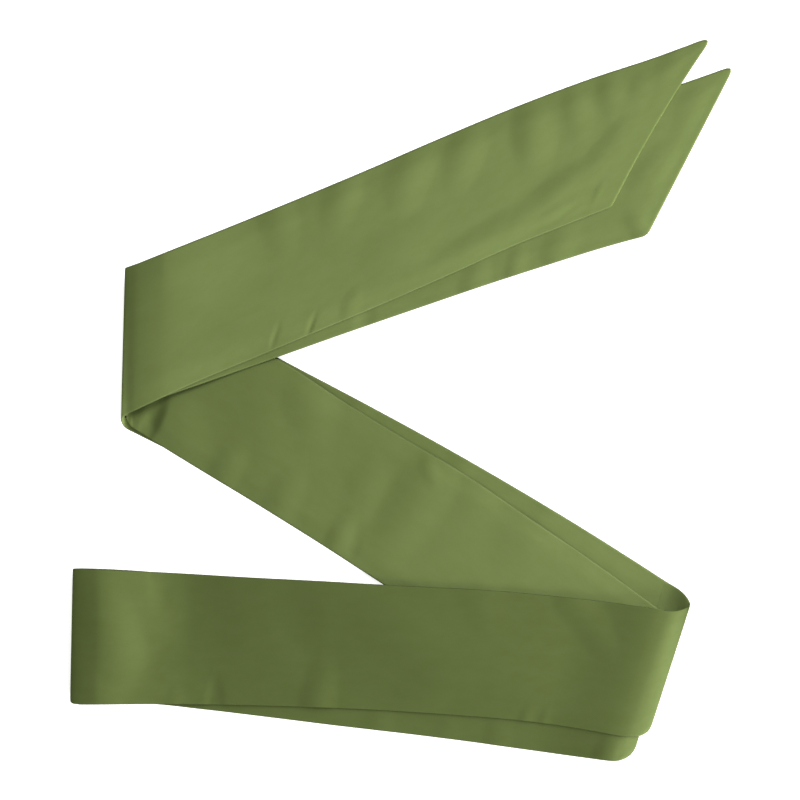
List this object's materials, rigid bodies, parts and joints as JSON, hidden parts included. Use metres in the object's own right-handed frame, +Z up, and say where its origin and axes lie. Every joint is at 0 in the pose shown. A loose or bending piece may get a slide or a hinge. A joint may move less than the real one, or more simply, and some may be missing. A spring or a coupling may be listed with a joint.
{
  "type": "dress sash",
  "caption": "Plain satin dress sash with slanted ends, folded in half and laid in a flat zigzag of legs with soft turned folds.",
  "frame": {"origin": "middle of the folded sash, on the surface that it lies on", "axes": "+Z up from the surface; +X to the right and +Y away from the viewer as the zigzag is seen from above"},
  "size_m": [0.514, 0.5618, 0.0107],
  "materials": {
    "satin": "satin weave, soft sheen"
  },
  "bodies": {
    "root": {"upper_leg_top": "satin", "upper_leg_under": "satin", "middle_leg_top": "satin", "middle_leg_under": "satin", "lower_leg_top": "satin", "lower_leg_under": "satin"}
  },
  "joints": []
}
